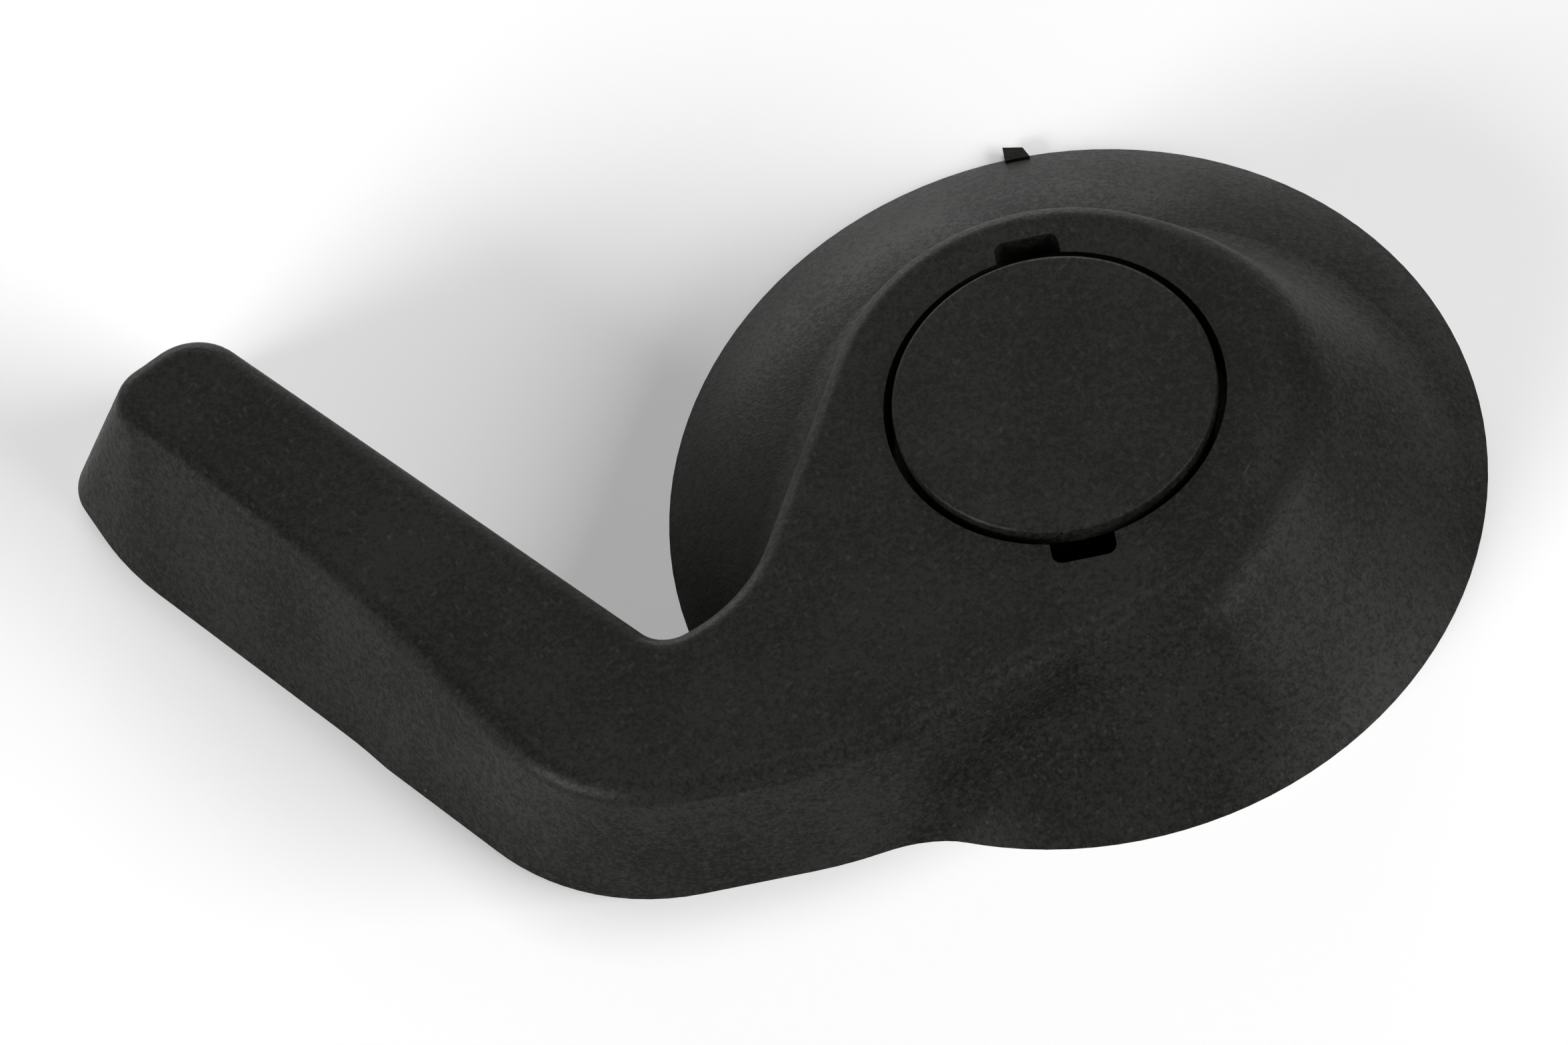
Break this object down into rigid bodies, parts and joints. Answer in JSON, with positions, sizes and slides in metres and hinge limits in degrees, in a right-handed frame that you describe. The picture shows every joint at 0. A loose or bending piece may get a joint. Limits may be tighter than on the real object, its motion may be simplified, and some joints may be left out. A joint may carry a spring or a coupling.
{
  "type": "seat recline knob",
  "caption": "Bent lever knob with a domed round base, a keyed spindle socket and a lift-off cap over its fixing screw, for reclining a seat.",
  "frame": {"origin": "hub axis in the plane of the back edge, at the mouth of the spindle socket", "axes": "+Z out of the face along the hub axis, +X along the longest extent with the lever's tip towards -X, +Y towards the tip's side"},
  "size_m": [0.1534, 0.0908, 0.0208],
  "materials": {
    "lever_plastic": "fine spark-eroded grain, matte",
    "cap_plastic": "fine grain, matte"
  },
  "bodies": {
    "lever": {"lever_body": "lever_plastic"},
    "cap": {"cap": "cap_plastic"}
  },
  "joints": [
    {"name": "cap_lift", "type": "slide", "parent": "lever", "child": "cap", "axis": [0, 0, 1], "range_m": [0, 0.03]}
  ]
}
